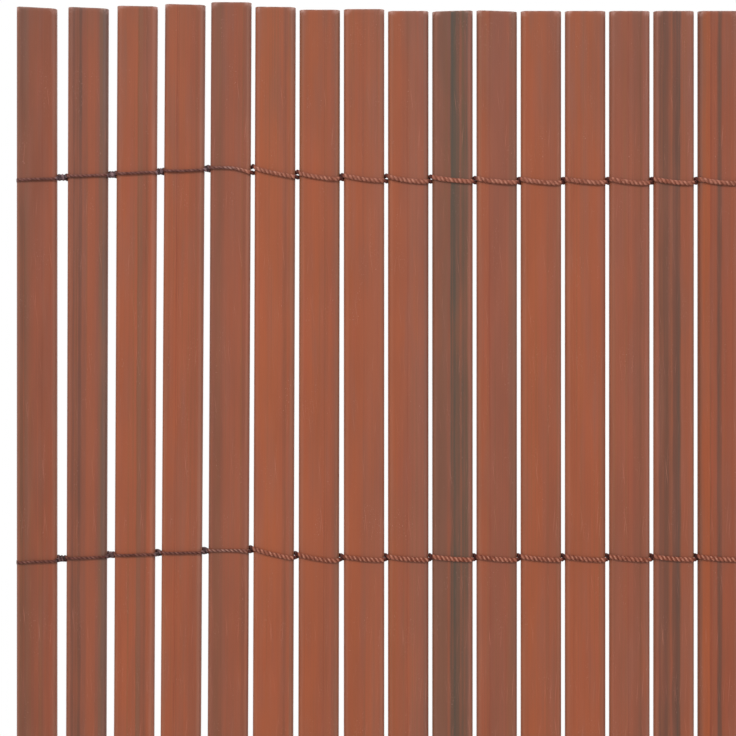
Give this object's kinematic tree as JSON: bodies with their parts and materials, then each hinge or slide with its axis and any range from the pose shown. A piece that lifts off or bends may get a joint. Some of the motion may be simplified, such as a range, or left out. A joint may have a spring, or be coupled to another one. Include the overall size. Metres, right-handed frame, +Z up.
{
  "type": "pvc privacy screen",
  "caption": "Privacy screen of upright hollow plastic slats, bound side by side with rows of twined cord, for tying to a fence or railing.",
  "frame": {"origin": "middle of the screen's width and depth, at the level of the slats' feet", "axes": "+Z up along the slats, +X along the screen to the right seen from the front, and the front faces -Y"},
  "size_m": [0.7102, 0.0088, 0.9043],
  "materials": {
    "slat_pvc": "satin, red-brown with lengthwise wood-like streaks",
    "binding_cord": "twisted brown cord"
  },
  "bodies": {
    "root": {"slat_01": "slat_pvc", "slat_02": "slat_pvc", "slat_03": "slat_pvc", "slat_04": "slat_pvc", "slat_05": "slat_pvc", "slat_06": "slat_pvc", "slat_07": "slat_pvc", "slat_08": "slat_pvc", "slat_09": "slat_pvc", "slat_10": "slat_pvc", "slat_11": "slat_pvc", "slat_12": "slat_pvc", "slat_13": "slat_pvc", "slat_14": "slat_pvc", "slat_15": "slat_pvc", "slat_16": "slat_pvc", "slat_17": "slat_pvc", "slat_18": "slat_pvc", "slat_19": "slat_pvc", "slat_20": "slat_pvc", "slat_21": "slat_pvc", "slat_22": "slat_pvc", "slat_23": "slat_pvc", "slat_24": "slat_pvc", "slat_25": "slat_pvc", "slat_26": "slat_pvc", "slat_27": "slat_pvc", "slat_28": "slat_pvc", "slat_29": "slat_pvc", "slat_30": "slat_pvc", "slat_31": "slat_pvc", "slat_32": "slat_pvc", "binding_cord_1": "binding_cord", "binding_cord_2": "binding_cord", "binding_cord_3": "binding_cord", "binding_cord_4": "binding_cord", "binding_cord_5": "binding_cord"}
  },
  "joints": []
}
